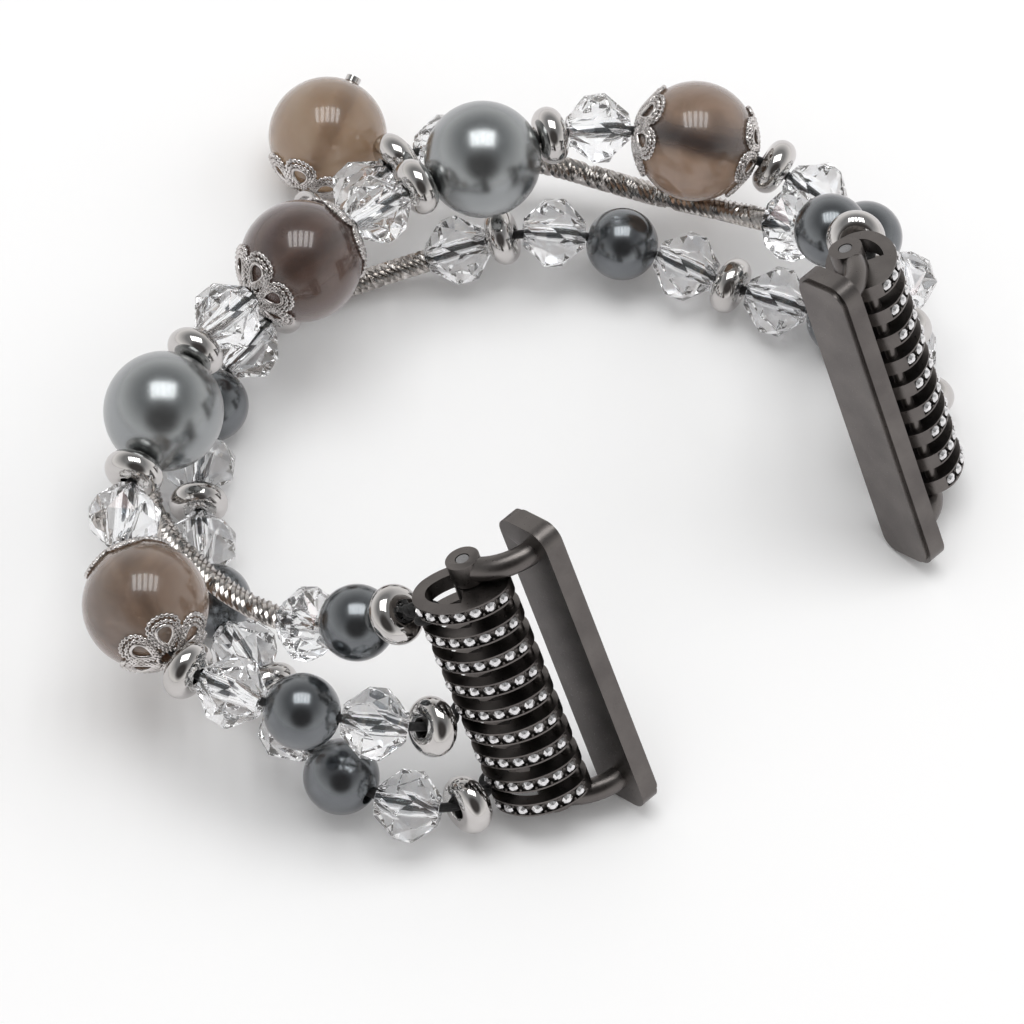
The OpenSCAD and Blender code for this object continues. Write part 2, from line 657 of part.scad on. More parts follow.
// Head pin: loop, straight wire through the cap and the bead, and a flat head
module charm_pin() {
    top = agate_d / 2 + 0.05;
    color("silver") translate(shift) union() {
        aim(eyelet_at, eyelet_dir) rotate_extrude() translate([eyelet_r, 0]) circle(d = wire_d, $fn = 32);
        aim(charm_at, charm_dir) {
            translate([0, 0, eyelet_r - charm_arm]) cylinder(d = wire_d, h = charm_arm - eyelet_r + top, $fn = 32);
            translate([0, 0, top]) cylinder(d = pin_head_d, h = pin_head_t, $fn = 32);
        }
    }
}

// The names of all pieces, bead by bead where a bead can turn
function names(s, label, count) = [for (n = [1:1:count]) str(ids[s], "_", label, "_", n)];

adapter(-1);  // left_adapter
adapter(1);  // right_adapter
latch(-1);  // left_latch
latch(1);  // right_latch
hinge_pin(-1);  // left_pin
hinge_pin(1);  // right_pin
end_link(-1);  // left_link
end_link(1);  // right_link
link_stones(-1);  // left_stones
link_stones(1);  // right_stones
charm_agate();
charm_cap();
charm_pin();
jump_ring(ring_1_at, ring_1_dir);  // charm_ring_1
jump_ring(ring_2_at, ring_2_dir);  // charm_ring_2
for (s = [0:2]) cord(s);
for (s = [0:2], n = [1, 2]) for (i = part_of(found(s, "X"), n)) bead_on(s, i);
for (s = [0:2], n = [1, 2]) for (i = part_of(found(s, "R"), n)) bead_on(s, i);
module each_of(s, k, label) {
    list = found(s, k);
    for (n = [1:1:len(list)]) bead_on(s, list[n - 1]);
}
for (s = [0:2]) each_of(s, "p", "pearl");
for (s = [0:2]) each_of(s, "P", "big_pearl");
for (s = [0:2]) each_of(s, "G", "agate");
for (s = [0:2]) each_of(s, "Y", "disc");
for (n = [1:6]) cap_on(0, found(0, "G")[ceil(n / 2) - 1], n % 2 == 1 ? -1 : 1);
for (n = [1, 2]) tube(1, found(1, "T")[n - 1]);
tube(2, found(2, "T")[0]);  // c_tube_1
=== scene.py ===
import json
import math
import bpy
import bmesh
from mathutils import Matrix, Vector

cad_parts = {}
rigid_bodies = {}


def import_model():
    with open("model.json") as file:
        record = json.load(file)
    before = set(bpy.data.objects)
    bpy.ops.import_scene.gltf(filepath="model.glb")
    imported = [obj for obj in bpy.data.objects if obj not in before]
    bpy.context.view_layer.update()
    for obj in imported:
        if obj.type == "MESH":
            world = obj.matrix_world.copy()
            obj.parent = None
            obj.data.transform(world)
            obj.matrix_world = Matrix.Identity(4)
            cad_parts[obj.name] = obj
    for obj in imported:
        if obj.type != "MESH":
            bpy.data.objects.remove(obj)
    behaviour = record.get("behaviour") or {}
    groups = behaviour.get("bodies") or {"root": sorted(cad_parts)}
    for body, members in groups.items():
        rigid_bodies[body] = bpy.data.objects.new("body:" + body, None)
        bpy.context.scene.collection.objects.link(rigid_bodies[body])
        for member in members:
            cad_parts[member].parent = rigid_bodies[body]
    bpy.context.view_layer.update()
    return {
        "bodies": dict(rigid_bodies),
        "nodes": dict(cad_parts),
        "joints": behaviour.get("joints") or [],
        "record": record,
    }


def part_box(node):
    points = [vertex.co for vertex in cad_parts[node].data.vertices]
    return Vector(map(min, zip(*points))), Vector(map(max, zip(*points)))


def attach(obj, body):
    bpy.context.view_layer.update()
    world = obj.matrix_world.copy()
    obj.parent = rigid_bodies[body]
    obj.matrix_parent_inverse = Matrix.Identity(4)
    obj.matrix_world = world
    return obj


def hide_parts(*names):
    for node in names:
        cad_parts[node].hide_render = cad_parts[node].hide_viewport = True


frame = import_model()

mm = 0.001
leanUp = Vector((0, 0.422618, 0.906308))  # up along the tabs, which lean back by 25 degrees
spinOf = {joint["child"]: joint for joint in frame["joints"] if "pos_m" in joint}
print("frame loaded,", len(frame["nodes"]), "nodes")


# Helpers for meshes and pieces

def mergedCopy(node):  # CAD meshes are loose triangles, so a copy is merged and its flats made whole
    bm = bmesh.new()
    bm.from_mesh(frame["nodes"][node].data)
    bmesh.ops.remove_doubles(bm, verts=bm.verts, dist=0.0008 * mm)
    bmesh.ops.dissolve_limit(bm, angle_limit=math.radians(0.6), verts=bm.verts, edges=bm.edges)
    return bm


def islandsOf(bm):  # in the order of the mesh, so that every run gives the same
    bm.verts.index_update()
    bm.faces.index_update()
    seen, islands = set(), []
    for first in bm.verts:
        if first.index in seen:
            continue
        seen.add(first.index)
        island, border = [], [first]
        while border:
            vert = border.pop()
            island.append(vert)
            for edge in vert.link_edges:
                other = edge.other_vert(vert)
                if other.index not in seen:
                    seen.add(other.index)
                    border.append(other)
        islands.append(island)
    return islands


def restingPlaces(node):  # centre and axis of every solid of revolution in a CAD node, from its largest flat
    bm = mergedCopy(node)
    places = []
    for island in islandsOf(bm):
        faces = {face for vert in island for face in vert.link_faces}
        flat = max(faces, key=lambda face: (round(face.calc_area() / (0.001 * mm * mm)), face.index))
        axis = flat.normal.copy()
        along = [vert.co.dot(axis) for vert in island]
        middle = sum((vert.co for vert in island), Vector()) / len(island)
        middle += axis * ((min(along) + max(along)) / 2 - middle.dot(axis))
        places.append((middle, axis))
    bm.free()
    return places


def onAxis(centre, axis):  # Z along the axis, turned about it as the CAD turns its pieces
    axis = Vector(axis).normalized()
    lean, turn = math.acos(max(-1, min(1, axis.z))), math.atan2(axis.y, axis.x)
    return Matrix.Translation(centre) @ Matrix.Rotation(turn, 4, "Z") @ Matrix.Rotation(lean, 4, "Y")


def stamp(bm, mesh, matrix):
    before = set(bm.verts)
    bm.from_mesh(mesh)
    bmesh.ops.transform(bm, matrix=matrix, verts=[vert for vert in bm.verts if vert not in before])


def toMesh(bm, name):
    mesh = bpy.data.meshes.new(name)
    bm.to_mesh(mesh)
    bm.free()
    return mesh


def addPiece(name, bm, body, material, nodes, smoothTo=None):
    mesh = toMesh(bm, name)
    mesh.materials.append(material)
    if smoothTo is not None:
        mesh.shade_smooth()
        mesh.set_sharp_from_angle(angle=math.radians(smoothTo))
    piece = bpy.data.objects.new(name, mesh)
    bpy.context.scene.collection.objects.link(piece)
    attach(piece, body)
    if nodes:
        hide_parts(*nodes)
    return piece


def softenEdges(piece, width, segments=2, angle=35, harden=True):
    bevel = piece.modifiers.new("softEdges", "BEVEL")
    bevel.width = width
    bevel.segments = segments
    bevel.limit_method = "ANGLE"
    bevel.angle_limit = math.radians(angle)
    bevel.harden_normals = harden


def spinOutline(bm, segments):  # turns an outline in the XZ plane into a closed solid
    bmesh.ops.spin(bm, geom=bm.verts[:] + bm.edges[:], cent=(0, 0, 0), axis=(0, 0, 1),
                   angle=2 * math.pi, steps=segments, use_merge=True)
    bmesh.ops.remove_doubles(bm, verts=bm.verts, dist=0.0005 * mm)
    bmesh.ops.recalc_face_normals(bm, faces=bm.faces)


def denser(points, step):  # even points on a smooth curve through the given ones
    points = [Vector(p) for p in points]
    padded = [2 * points[0] - points[1]] + points + [2 * points[-1] - points[-2]]
    curve, parts = [], 12
    for a, b, c, d in zip(padded, padded[1:], padded[2:], padded[3:]):
        for k in range(parts):
            t = k / parts
            curve.append(0.5 * (2 * b + (c - a) * t + (2 * a - 5 * b + 4 * c - d) * t * t
                                + (3 * b - a - 3 * c + d) * t ** 3))
    curve.append(points[-1])
    even, done, nextAt = [curve[0]], 0.0, step
    for a, b in zip(curve, curve[1:]):
        length = (b - a).length
        while done + length >= nextAt:
            even.append(a.lerp(b, (nextAt - done) / length))
            nextAt += step
        done += length
    return even


def framesAlong(points, closed=False):  # one matrix per point, Z along the path, turned as little as possible
    count = len(points)
    frames, side = [], None
    for i in range(count):
        if closed:
            heading = (points[(i + 1) % count] - points[i - 1]).normalized()
        else:
            heading = (points[min(i + 1, count - 1)] - points[max(i - 1, 0)]).normalized()
        side = side or heading.orthogonal()
        side = (side - side.dot(heading) * heading).normalized()
        across = heading.cross(side)
        frames.append(Matrix((
            (side.x, across.x, heading.x, points[i].x),
            (side.y, across.y, heading.y, points[i].y),
            (side.z, across.z, heading.z, points[i].z),
            (0, 0, 0, 1))))
    return frames


def sweepRing(bm, frames, radius, sides, closed=False):  # extrudes a ring along the frames, and returns its rows
    ring = bmesh.ops.create_circle(bm, cap_ends=False, segments=sides, radius=radius, matrix=frames[0])["verts"]
    rows = [ring]
    for before, after in zip(frames, frames[1:]):
        held = set(ring)
        near = dict.fromkeys(edge for vert in ring for edge in vert.link_edges)
        edges = [edge for edge in near if held.issuperset(edge.verts)]
        grown = bmesh.ops.extrude_edge_only(bm, edges=edges)["geom"]
        ring = [item for item in grown if isinstance(item, bmesh.types.BMVert)]
        bmesh.ops.transform(bm, matrix=after @ before.inverted(), verts=ring)
        rows.append(ring)
    if closed:
        first, last = set(rows[0]), set(rows[-1])
        edges = [e for e in bm.edges if first.issuperset(e.verts) or last.issuperset(e.verts)]
        bmesh.ops.bridge_loops(bm, edges=edges)
    return rows


# Helpers for materials

def linearColour(code):  # sRGB hex to linear
    parts = [int(code[i:i + 2], 16) / 255 for i in (1, 3, 5)]
    return [c / 12.92 if c <= 0.04045 else ((c + 0.055) / 1.055) ** 2.4 for c in parts] + [1]


def addNode(tree, kind, values=None, links=None, **settings):
    node = tree.nodes.new(kind)
    for name, value in settings.items():
        setattr(node, name, value)
    for socket, value in (values or {}).items():
        node.inputs[socket].default_value = value
    for socket, source in (links or {}).items():
        tree.links.new(source, node.inputs[socket])
    return node


def surface(name, look):  # a material with clouded colour, uneven roughness and fine relief
    material = bpy.data.materials.new(name)
    material.use_nodes = True
    tree = material.node_tree
    shader = tree.nodes["Principled BSDF"]
    for socket, value in look["shader"].items():
        shader.inputs[socket].default_value = value
    place = addNode(tree, "ShaderNodeTexCoord").outputs["Object"]
    shift = {"Location": look.get("shift", (0, 0, 0))}
    place = addNode(tree, "ShaderNodeMapping", shift, {"Vector": place}).outputs[0]
    cloud = addNode(tree, "ShaderNodeTexNoise", {
        "Scale": 1 / look["cloudSize"], "Detail": 4, "Distortion": look.get("swirl", 0)}, {"Vector": place})
    spread = addNode(tree, "ShaderNodeMapRange", {"From Min": 0.34, "From Max": 0.66}, {"Value": cloud.outputs[0]})
    darker, lighter = (linearColour(code) for code in look["colours"])
    tone = addNode(tree, "ShaderNodeMix", {6: darker, 7: lighter}, {0: spread.outputs[0]}, data_type="RGBA")
    tree.links.new(tone.outputs[2], shader.inputs["Base Color"])
    grain = addNode(tree, "ShaderNodeTexNoise", {"Scale": 1 / look["grainSize"], "Detail": 3}, {"Vector": place})
    rough = addNode(tree, "ShaderNodeMapRange", {
        "From Min": 0.3, "From Max": 0.7, "To Min": look["roughness"][0], "To Max": look["roughness"][1]},
        {"Value": grain.outputs[0]})
    tree.links.new(rough.outputs[0], shader.inputs["Roughness"])
    relief = addNode(tree, "ShaderNodeBump", {"Strength": 1.0, "Distance": look["relief"]},
                     {"Height": grain.outputs[0]})
    tree.links.new(relief.outputs[0], shader.inputs["Normal"])
    return material, tree, shader


# Gunmetal plating over zinc: near black, half gloss, slightly uneven where the plating pooled
gunmetalPlate = surface("gunmetalPlate", {
    "colours": ("#676361", "#75716e"), "cloudSize": 4 * mm, "grainSize": 0.25 * mm,
    "roughness": (0.27, 0.36), "relief": 0.0015 * mm, "shader": {"Metallic": 1.0}})[0]

# Turned steel of pins and latches: grey, with a satin surface
satinSteel = surface("satinSteel", {
    "colours": ("#8b8b8c", "#a3a3a4"), "cloudSize": 2 * mm, "grainSize": 0.15 * mm,
    "roughness": (0.25, 0.4), "relief": 0.002 * mm, "shader": {"Metallic": 1.0}})[0]

# Rhodium plate on brass: a mirror with hairline handling marks
rhodiumPlate = surface("rhodiumPlate", {
    "colours": ("#c9c7c4", "#dad8d6"), "cloudSize": 4 * mm, "grainSize": 0.5 * mm,
    "roughness": (0.03, 0.09), "relief": 0.0012 * mm, "shader": {"Metallic": 1.0}})[0]

# Diamond-cut silver of the tubes: bright cut faces with greyer patches
diamondCutSilver = surface("diamondCutSilver", {
    "colours": ("#aaa5a0", "#dedad6"), "cloudSize": 0.6 * mm, "grainSize": 0.3 * mm,
    "roughness": (0.1, 0.22), "relief": 0.002 * mm, "shader": {"Metallic": 1.0}})[0]

# Antique silver wire of the caps: bright, with thin patches of oxide left from the finish
antiqueSilver = surface("antiqueSilver", {
    "colours": ("#b9b4b0", "#eeebe9"), "cloudSize": 0.9 * mm, "grainSize": 0.4 * mm,
    "roughness": (0.12, 0.22), "relief": 0.001 * mm, "shader": {"Metallic": 1.0}})[0]

# Pearl lacquer over glass: a metallic lustre below a clear gloss
darkPearl = surface("darkPearl", {
    "colours": ("#6f7376", "#7a7e81"), "cloudSize": 3 * mm, "grainSize": 0.5 * mm,
    "roughness": (0.19, 0.23), "relief": 0.0006 * mm,
    "shader": {"Metallic": 0.95, "Coat Weight": 0.4, "Coat Roughness": 0.12}})[0]
silverPearl = surface("silverPearl", {
    "colours": ("#9a9e9f", "#a4a8a9"), "cloudSize": 5 * mm, "grainSize": 0.6 * mm,
    "roughness": (0.23, 0.27), "relief": 0.0006 * mm,
    "shader": {"Metallic": 0.95, "Coat Weight": 0.3, "Coat Roughness": 0.14}})[0]

# Cut lead crystal, clear, with a thin iridescent film on it
leadCrystal = surface("leadCrystal", {
    "colours": ("#fbfbfd", "#ffffff"), "cloudSize": 2 * mm, "grainSize": 1.5 * mm,
    "roughness": (0.0, 0.01), "relief": 0.0003 * mm,
    "shader": {"IOR": 1.5, "Transmission Weight": 1.0, "Alpha": 0.95,
               "Thin Film Thickness": 260.0, "Thin Film IOR": 1.45}})[0]

# Foil-backed rhinestone: the foil sends the light back, so each facet is bright or dark
foiledStone = surface("foiledStone", {
    "colours": ("#e4e4e6", "#fafafa"), "cloudSize": 0.5 * mm, "grainSize": 0.5 * mm,
    "roughness": (0.02, 0.06), "relief": 0.0005 * mm,
    "shader": {"Metallic": 0.8, "Coat Weight": 0.5, "Coat Roughness": 0.0}})[0]

# Braided elastic: black, dull, with the braid's ribs drawn coarser than the thread so that they show
braidedElastic = surface("braidedElastic", {
    "colours": ("#0f0f10", "#1f1e1e"), "cloudSize": 0.4 * mm, "grainSize": 0.22 * mm,
    "roughness": (0.55, 0.8), "relief": 0.05 * mm,
    "shader": {"Sheen Weight": 0.2, "Sheen Roughness": 0.5}})[0]


# Grey agate, polished: milky and half clear under a wet gloss, with a band across it, and painted light low down:
# the colour turns lighter and warmer towards the bottom, where light through the stone would gather
agatePaintedGlow = {"above": 2 * mm, "below": 4 * mm, "most": 0.6}


def polishedAgate(name, look):
    material, tree, shader = surface(name, {
        "colours": look["colours"], "cloudSize": look["cloudSize"], "swirl": 1.2, "shift": look["shift"],
        "grainSize": 1.2 * mm, "roughness": (0.2, 0.26), "relief": 0.0002 * mm,
        "shader": {"IOR": 1.54, "Subsurface Weight": 0.5, "Subsurface Radius": (1.0, 0.7, 0.5),
                   "Subsurface Scale": 2.6 * mm, "Transmission Weight": 0.6, "Coat Weight": 0.8,
                   "Coat Roughness": 0.01, "Sheen Weight": 0.3, "Sheen Roughness": 0.4,
                   "Sheen Tint": linearColour(look["rim"])}})
    base = shader.inputs["Base Color"].links[0].from_socket
    here = addNode(tree, "ShaderNodeTexCoord").outputs["Object"]
    centred = addNode(tree, "ShaderNodeMapping", {"Location": look["centre"], "Rotation": look["bandTurn"]},
                      {"Vector": here}, vector_type="TEXTURE")
    band = addNode(tree, "ShaderNodeTexWave", {
        "Scale": math.pi / (10 * look["bandPitch"]), "Distortion": 1.6, "Detail": 3,
        "Detail Scale": 0.35 / look["bandPitch"] / 10, "Phase Offset": math.pi / 2},
        {"Vector": centred.outputs[0]}, bands_direction="Z")
    part = addNode(tree, "ShaderNodeMapRange", {"From Min": 0.6, "From Max": 1.0, "To Max": look["bandDepth"]},
                   {"Value": band.outputs[1]})
    banded = addNode(tree, "ShaderNodeMix", {7: linearColour(look["band"])}, {0: part.outputs[0], 6: base},
                     data_type="RGBA")
    # painted light: towards the bottom of the bead the colour is mixed toward a lighter, warmer painted glow, for
    # light passing through the stone
    height = addNode(tree, "ShaderNodeSeparateXYZ", {}, {0: here}).outputs["Z"]
    middle = look["centre"][2]
    below = addNode(tree, "ShaderNodeMapRange", {
        "From Min": middle + agatePaintedGlow["above"], "From Max": middle - agatePaintedGlow["below"],
        "To Max": agatePaintedGlow["most"]}, {"Value": height}, interpolation_type="SMOOTHSTEP")
    paintedWarmth = addNode(tree, "ShaderNodeMix", {7: linearColour(look["glow"])},
                   {0: below.outputs[0], 6: banded.outputs[2]}, data_type="RGBA")
    tree.links.new(paintedWarmth.outputs[2], shader.inputs["Base Color"])
    return material


print("materials made")


# Camera at the photograph's angle, found from the known spacing of the adapters

view = {"target": (-0.0009, -0.00805, 0), "place": (-0.2165, -0.23135, 0.478), "lens": 197.4, "shift": -0.004}
lens = bpy.data.cameras.new("studioCamera")
lens.lens = view["lens"]
lens.sensor_width = 36
lens.clip_start, lens.clip_end = 0.01, 20
lens.shift_x = view["shift"]
camera = bpy.data.objects.new("studioCamera", lens)
camera.location = view["place"]
camera.rotation_mode = "QUATERNION"
camera.rotation_quaternion = (Vector(view["target"]) - Vector(view["place"])).to_track_quat("-Z", "Y")
bpy.context.scene.collection.objects.link(camera)
bpy.context.scene.camera = camera


# Round beads: pearls and agates

roundBeads = {"rows": 40, "segments": 72, "bore": 1.7 * mm, "lip": 0.12 * mm,
              "diameters": {"pearl": 7.5 * mm, "big_pearl": 12 * mm, "agate": 12.4 * mm}}


def roundBead(diameter):
    bm = bmesh.new()
    radius, bore = diameter / 2, roundBeads["bore"] / 2
    mouth = math.asin(bore / radius)
    top = bm.verts.new((bore, 0, radius * math.cos(mouth)))
    arc = bmesh.ops.spin(bm, geom=[top], cent=(0, 0, 0), axis=(0, 1, 0), angle=math.pi - 2 * mouth,
                         steps=roundBeads["rows"])
    bottom = [item for item in arc["geom_last"] if isinstance(item, bmesh.types.BMVert)][0]
    bm.edges.new((top, bottom))
    spinOutline(bm, roundBeads["segments"])
    rim = [e for e in bm.edges if all(abs(math.hypot(v.co.x, v.co.y) - bore) < 0.01 * mm for v in e.verts)
           and abs(e.verts[0].co.z - e.verts[1].co.z) < 0.01 * mm]
    bmesh.ops.bevel(bm, geom=rim, offset=roundBeads["lip"], segments=3, profile=0.5, affect="EDGES", material=-1,
                    clamp_overlap=True)
    return bm


# each agate's glow colour is painted light, mixed in towards the bottom of the bead
agates = {
    "a_agate_1": {"colours": ("#857061", "#9b8573"), "glow": "#c0a088", "rim": "#9a8e86", "band": "#a0928a",
                  "bandPitch": 7 * mm, "bandDepth": 0.35, "bandTurn": (0.3, 0.2, 0.5),
                  "cloudSize": 7 * mm, "shift": (0.01, 0.02, 0)},
    "a_agate_2": {"colours": ("#5f4c44", "#725e56"), "glow": "#8a6c5c", "rim": "#85797c", "band": "#75676b",
                  "bandPitch": 6 * mm, "bandDepth": 0.35, "bandTurn": (0.9, 0.1, 0.2),
                  "cloudSize": 8 * mm, "shift": (0.03, 0.01, 0)},
    "a_agate_3": {"colours": ("#8f7866", "#a68d7b"), "glow": "#bf9c80", "rim": "#a69b92", "band": "#4a4444",
                  "bandPitch": 10 * mm, "bandDepth": 0.9, "bandTurn": (-0.35, 0.35, 0),
                  "cloudSize": 7 * mm, "shift": (0.02, 0.04, 0)},
    "charm_agate": {"colours": ("#a68c74", "#bda58c"), "glow": "#d4b594", "rim": "#b5aaa0", "band": "#c9b7a3",
                    "bandPitch": 7 * mm, "bandDepth": 0.4, "bandTurn": (0.5, 0.6, 0.1),
                    "cloudSize": 9 * mm, "shift": (0.05, 0.02, 0)},
}
for node, look in agates.items():
    low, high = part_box(node)
    look["centre"] = (low + high) / 2
agateMaterials = {node: polishedAgate("polishedAgate" + str(n + 1), look)
                  for n, (node, look) in enumerate(agates.items())}
for node in frame["nodes"]:
    words = node.split("_")
    kind = "big_pearl" if "big" in words else "agate" if "agate" in words else "pearl" if "pearl" in words else None
    if kind is None:
        continue
    body = "charm_bead" if node == "charm_agate" else node
    joint = spinOf[body]
    bm = roundBead(roundBeads["diameters"][kind])
    bmesh.ops.transform(bm, matrix=onAxis(joint["pos_m"], joint["axis"]), verts=bm.verts)
    material = agateMaterials.get(node) or (silverPearl if kind == "big_pearl" else darkPearl)
    slot = {"pearl": "small_pearl", "big_pearl": "big_pearl", "agate": "agate"}[kind]
    name = words[0] + "".join(word.capitalize() for word in words[1:])
    addPiece(name, bm, body, material, [node], smoothTo=50)
print("round beads made")


# Metal spacer rings, one mesh for each half strand

spacer = {"length": 2.9 * mm, "diameter": 6 * mm, "bore": 1.7 * mm, "mouth": 0.3 * mm, "rows": 24, "segments": 56}
half, boreRadius = spacer["length"] / 2, spacer["bore"] / 2
tubeMiddle = spacer["diameter"] / 2 - half
bm = bmesh.new()
outline = [bm.verts.new((boreRadius, 0, half))]
for k in range(spacer["rows"] + 1):
    turn = math.pi * (0.5 - k / spacer["rows"])
    outline.append(bm.verts.new((tubeMiddle + half * math.cos(turn), 0, half * math.sin(turn))))
outline.append(bm.verts.new((boreRadius, 0, -half)))
for pair in zip(outline, outline[1:] + outline[:1]):
    bm.edges.new(pair)
spinOutline(bm, spacer["segments"])
mouth = [e for e in bm.edges if all(math.hypot(v.co.x, v.co.y) < boreRadius + 0.01 * mm for v in e.verts)
         and abs(e.verts[0].co.z - e.verts[1].co.z) < 0.01 * mm]
bmesh.ops.bevel(bm, geom=mouth, offset=spacer["mouth"], segments=4, profile=0.5, affect="EDGES", material=-1)
spacerMesh = toMesh(bm, "spacerPattern")
for node in frame["nodes"]:
    if "_spacers_" not in node:
        continue
    bm = bmesh.new()
    for centre, axis in restingPlaces(node):
        stamp(bm, spacerMesh, onAxis(centre, axis))
    addPiece(node[0] + "Spacers" + node[-1], bm, "strands", rhodiumPlate, [node], smoothTo=40)
bpy.data.meshes.remove(spacerMesh)
print("spacer rings made")


# Cut crystals: the CAD facets with fine ground edges

crystal = {"edge": 0.035 * mm}
for node in frame["nodes"]:
    if "_crystals_" in node or "_disc_" in node:
        body = "strands" if "_crystals_" in node else node
        words = node.split("_")
        name = words[0] + words[1].capitalize() + words[2]
        piece = addPiece(name, mergedCopy(node), body, leadCrystal, [node])
        softenEdges(piece, crystal["edge"], segments=1, angle=12, harden=False)
print("crystals made")


# Filigree caps: each petal is two rows of beaded wire and a plain one, side by side, round a drop-shaped opening

cap = {"sphere": 6.42 * mm, "petals": 6, "wire": 0.21 * mm, "sides": 8, "beadPitch": 0.5 * mm, "ringsPerBead": 4,
       "rows": [{"start": 1.1 * mm, "end": 4.6 * mm, "width": 2.12 * mm, "bump": 0.3},
                {"start": 1.4 * mm, "end": 4.2 * mm, "width": 1.62 * mm, "bump": 0.3},
                {"start": 1.75 * mm, "end": 3.84 * mm, "width": 1.15 * mm, "bump": 0}],
       "outlinePoints": 96, "fullness": 0.55,
       "collar": {"radius": 1.15 * mm, "points": 72, "bump": 0.28}}


def beadedWire(bm, points, bump):  # of the rings along each bead, the middle two swell and the others shrink
    rows = sweepRing(bm, framesAlong(points, True), cap["wire"], cap["sides"], closed=True)
    for i, row in enumerate(rows):
        grow = 1 + bump * (1 if i % cap["ringsPerBead"] in (1, 2) else -1)
        for vert in row:
            vert.co = points[i] + (vert.co - points[i]) * grow


def onSphere(x, y):
    return Vector((x, y, math.sqrt(cap["sphere"] ** 2 - x * x - y * y)))


bm = bmesh.new()
for petal in range(cap["petals"]):
    turn = 2 * math.pi * petal / cap["petals"]
    for row in cap["rows"]:
        outline = []
        for k in range(cap["outlinePoints"]):
            t = 2 * math.pi * k / cap["outlinePoints"]
            lift = (1 - math.cos(t)) / 2
            reach = row["start"] + (row["end"] - row["start"]) * lift
            side = row["width"] * math.sin(t) * lift ** cap["fullness"]
            outline.append(onSphere(reach * math.cos(turn) - side * math.sin(turn),
                                    reach * math.sin(turn) + side * math.cos(turn)))
        closedOutline = list(zip(outline, outline[1:] + outline[:1]))
        length = sum((a - b).length for a, b in closedOutline)
        count = cap["ringsPerBead"] * round(length / cap["beadPitch"])
        even, done, target = [], 0.0, 0.0
        for a, b in closedOutline:
            span = (b - a).length
            while done + span > target and len(even) < count:
                even.append(a.lerp(b, (target - done) / span))
                target += length / count
            done += span
        beadedWire(bm, even, row["bump"])
collar = cap["collar"]
turns = [2 * math.pi * k / collar["points"] for k in range(collar["points"])]
points = [onSphere(collar["radius"] * math.cos(turn), collar["radius"] * math.sin(turn)) for turn in turns]
beadedWire(bm, points, collar["bump"])
bmesh.ops.recalc_face_normals(bm, faces=bm.faces)
capMesh = toMesh(bm, "capPattern")
for node in frame["nodes"]:
    if "_cap" not in node:
        continue
    number = (int(node[-1]) + 1) // 2 if node[-1].isdigit() else None
    body = f"a_agate_{number}" if number else "charm_bead"
    joint = spinOf[body]
    centre, axis = Vector(joint["pos_m"]), Vector(joint["axis"])
    low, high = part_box(node)
    if ((low + high) / 2 - centre).dot(axis) < 0:
        axis = -axis
    bm = bmesh.new()
    stamp(bm, capMesh, onAxis(centre, axis))
    name = "charmCap" if number is None else "aCap" + node[-1]
    addPiece(name, bm, body, antiqueSilver, [node], smoothTo=80)
bpy.data.meshes.remove(capMesh)
print("filigree caps made")


# Curved tubes with slanting diamond cuts, which run round them like the starts of a thread

tube = {"radius": 1.2 * mm, "bore": 0.85 * mm, "cut": 0.22 * mm, "starts": 9, "pitch": 0.72 * mm, "step": 0.12 * mm}
tubePaths = {  # mm
    "b_tube_1": [(-32.0872, -8.11077, 14.0762), (-32.636, -3.8418, 12.3923), (-32.6659, 0.510029, 10.8341),
                 (-32.257, 4.89179, 9.41636), (-31.4228, 9.22112, 8.02752), (-30.0446, 13.342, 6.45282),
                 (-28.0199, 17.1604, 4.83089), (-25.1251, 20.5587, 3.65448), (-21.7414, 23.5985, 2.83597)],
    "b_tube_2": [(-21.6063, 23.7051, 2.80863), (-17.737, 26.1342, 2.15675), (-13.2816, 27.195, 1.73378),
                 (-8.66629, 27.0917, 1.55687), (-4.08345, 26.514, 1.38355), (0.385868, 25.3441, 1.26033),
                 (4.68639, 23.6863, 1.56888), (8.70477, 21.5439, 2.3579), (12.5118, 19.1535, 3.442)],
    "c_tube_1": [(23.9832, 23.3926, 7.78184), (27.1084, 20.1913, 6.62368), (29.8577, 16.5775, 5.76245),
                 (32.2883, 12.7052, 5.07762), (34.3673, 8.58896, 5.0471), (35.8867, 4.36726, 6.12027),
                 (36.7765, 0.235584, 7.98114), (36.9348, -3.65672, 10.4595), (36.7828, -7.36105, 13.2242)],
}
for node, points in tubePaths.items():
    bm = bmesh.new()
    middle = denser([Vector(p) * mm for p in points], tube["step"])
    twist = 2 * math.pi / tube["starts"] * tube["step"] / tube["pitch"]  # the rings turn with the cuts
    frames = [frame @ Matrix.Rotation(twist * i, 4, "Z") for i, frame in enumerate(framesAlong(middle))]
    narrow = Matrix.Diagonal((tube["bore"] / tube["radius"], tube["bore"] / tube["radius"], 1, 1))
    back = [frame @ narrow for frame in reversed(frames[:1] + frames[2:-2:4] + frames[-1:])]  # through the bore
    rows = sweepRing(bm, frames + back + frames[:1], tube["radius"], 2 * tube["starts"])
    for i in range(1, len(frames) - 1):
        for vert in rows[i]:
            local = frames[i].inverted() @ vert.co
            if round(math.atan2(local.y, local.x) / math.pi * tube["starts"]) % 2:
                vert.co = middle[i] + (vert.co - middle[i]) * (1 - tube["cut"] / tube["radius"])
    bmesh.ops.remove_doubles(bm, verts=bm.verts, dist=0.0005 * mm)
    bmesh.ops.recalc_face_normals(bm, faces=bm.faces)
    addPiece(node[0] + "Tube" + node[-1], bm, "strands", diamondCutSilver, [node], smoothTo=14)
print("tubes made")


# Elastic cords, and the knots that tie them to the links

